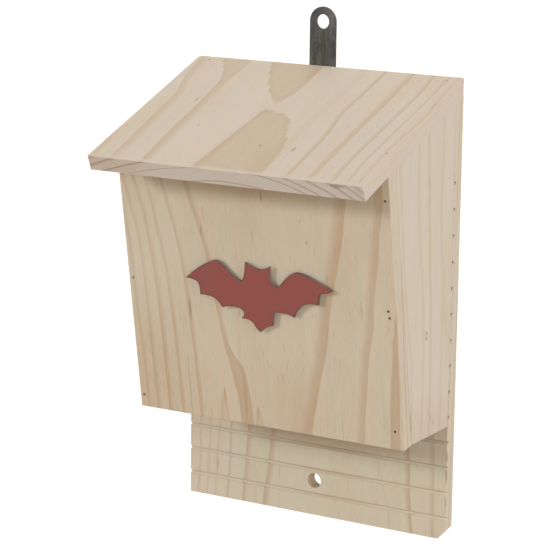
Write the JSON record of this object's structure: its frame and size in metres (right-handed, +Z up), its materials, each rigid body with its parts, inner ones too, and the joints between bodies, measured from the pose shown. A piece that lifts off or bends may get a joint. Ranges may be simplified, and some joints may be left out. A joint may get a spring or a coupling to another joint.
{
  "type": "bat box",
  "caption": "Wooden bat box: grooved back board, leaning front, sloping roof, open bottom with two roosting gaps, steel hanging strap and a flat metal bat on the front.",
  "frame": {"origin": "centre of the hanging strap's hole, in the plane of the strap's rear face, where the wall is", "axes": "+Z up, +Y into the wall, so the front faces -Y and +X is to the right of someone who faces the box"},
  "size_m": [0.2008, 0.1347, 0.3456],
  "materials": {
    "pine_back": "planed, untreated, saw-cut grooves",
    "pine_side": "planed, untreated",
    "pine_front": "planed, untreated",
    "pine_roof": "planed, untreated",
    "pine_partition": "rough sawn, untreated",
    "red_painted_sheet": "matt red paint, bare grey cut edges",
    "pad_foam": "closed-cell foam",
    "strap_steel": "mill finish, dull",
    "screw_zinc": "zinc plated",
    "nail_steel": "bare steel"
  },
  "bodies": {
    "root": {"back_board": "pine_back", "side_board_left": "pine_side", "side_board_right": "pine_side", "front_board": "pine_front", "roof_board": "pine_roof", "partition_board": "pine_partition", "bat_badge": "red_painted_sheet", "bat_pad_left": "pad_foam", "bat_pad_right": "pad_foam", "hanging_strap": "strap_steel", "strap_screw_lower": "screw_zinc", "strap_screw_upper": "screw_zinc", "front_nail_right_top": "nail_steel", "front_nail_right_middle_upper": "nail_steel", "front_nail_right_middle_lower": "nail_steel", "front_nail_right_bottom": "nail_steel", "front_nail_left_top": "nail_steel", "front_nail_left_middle": "nail_steel", "front_nail_left_bottom": "nail_steel", "roof_nail_right_front": "nail_steel", "roof_nail_left_front": "nail_steel", "roof_nail_right_rear": "nail_steel", "roof_nail_left_rear": "nail_steel", "rear_nail_left_bottom": "nail_steel", "rear_nail_right_bottom": "nail_steel", "rear_nail_left_middle": "nail_steel", "rear_nail_right_middle": "nail_steel", "rear_nail_left_top": "nail_steel", "rear_nail_right_top": "nail_steel", "partition_nail_left_upper": "nail_steel", "partition_nail_right_upper": "nail_steel", "partition_nail_left_lower": "nail_steel", "partition_nail_right_lower": "nail_steel"}
  },
  "joints": []
}
